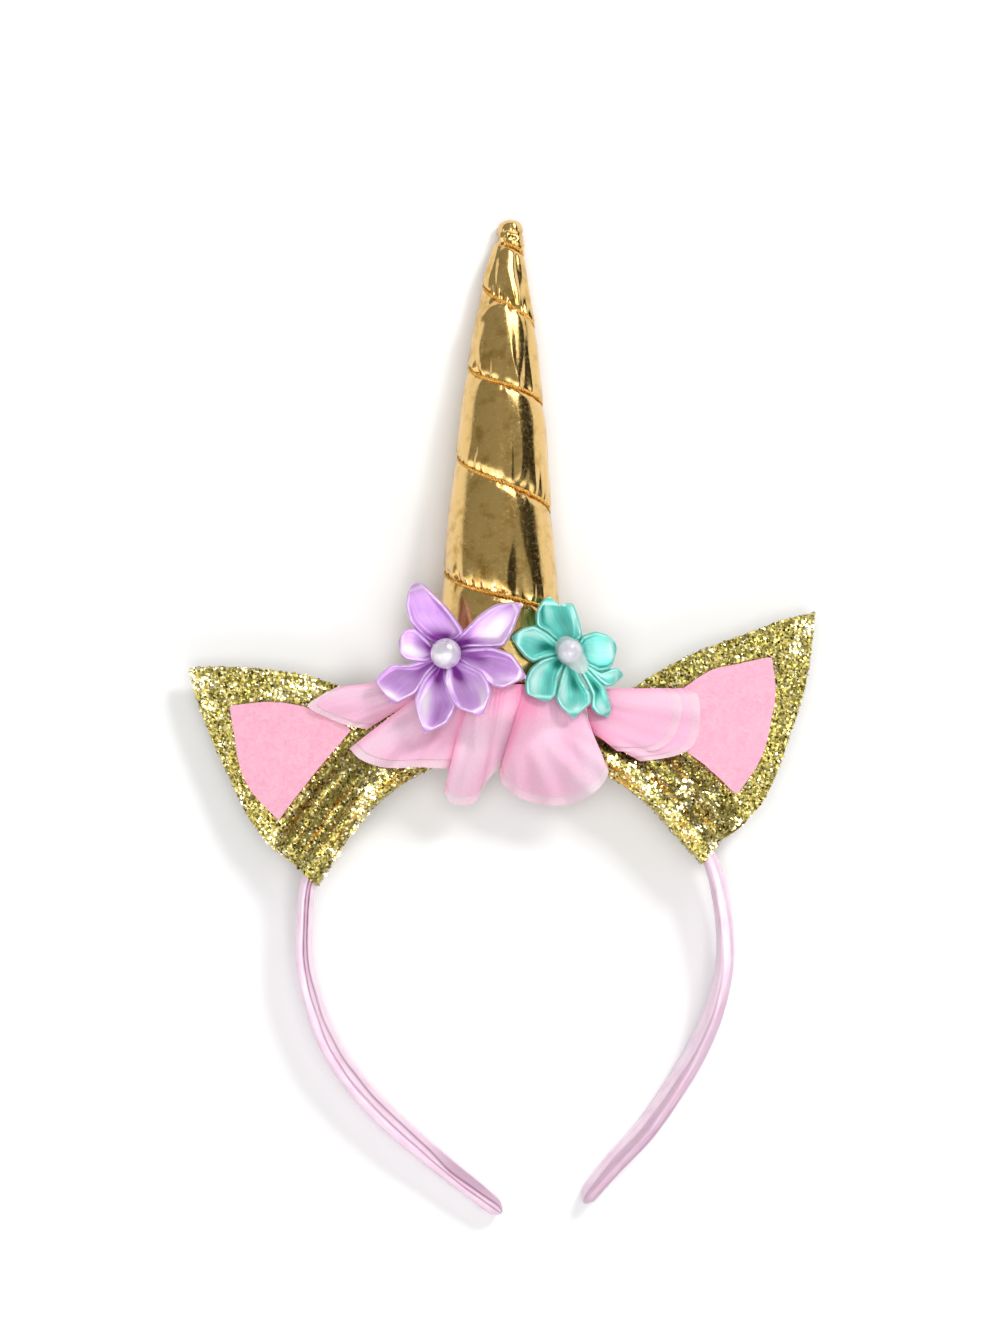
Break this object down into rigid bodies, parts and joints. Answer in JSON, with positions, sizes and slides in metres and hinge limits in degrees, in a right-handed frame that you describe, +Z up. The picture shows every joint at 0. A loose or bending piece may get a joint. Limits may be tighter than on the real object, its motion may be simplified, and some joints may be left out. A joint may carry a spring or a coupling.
{
  "type": "unicorn horn headband",
  "caption": "Satin hair band with a stuffed gold unicorn horn, glitter ears with felt panels, chiffon ruffle and ribbon flowers, lying on its back.",
  "frame": {"origin": "centre of the part's box in plan, on the surface that it lies on", "axes": "+Y from the band towards the horn's tip, +X towards the right-hand ear seen from the front, +Z up from the surface, out of the front of the ears"},
  "size_m": [0.1781, 0.2853, 0.0416],
  "materials": {
    "pink_satin": "satin",
    "gold_film": "polished",
    "gold_cord": "satin",
    "gold_glitter": "gloss",
    "pink_felt": "matte",
    "pink_chiffon": "matte",
    "lavender_satin": "satin",
    "aqua_satin": "satin",
    "pearl": "polished",
    "clear_glue": "gloss"
  },
  "bodies": {
    "root": {"band": "pink_satin", "horn": "gold_film", "horn_cord": "gold_cord", "ear_left": "gold_glitter", "ear_right": "gold_glitter", "ear_felt_left": "pink_felt", "ear_felt_right": "pink_felt", "ruffle_left_outer": "pink_chiffon", "ruffle_left_inner": "pink_chiffon", "ruffle_middle_left": "pink_chiffon", "ruffle_middle_right": "pink_chiffon", "ruffle_right_inner": "pink_chiffon", "ruffle_right_outer": "pink_chiffon", "lavender_petal_1": "lavender_satin", "lavender_petal_2": "lavender_satin", "lavender_petal_3": "lavender_satin", "lavender_petal_4": "lavender_satin", "lavender_petal_5": "lavender_satin", "lavender_petal_6": "lavender_satin", "lavender_petal_7": "lavender_satin", "lavender_pearl": "pearl", "aqua_petal_1": "aqua_satin", "aqua_petal_2": "aqua_satin", "aqua_petal_3": "aqua_satin", "aqua_petal_4": "aqua_satin", "aqua_petal_5": "aqua_satin", "aqua_petal_6": "aqua_satin", "aqua_petal_7": "aqua_satin", "aqua_pearl": "pearl", "aqua_glue": "clear_glue"}
  },
  "joints": []
}
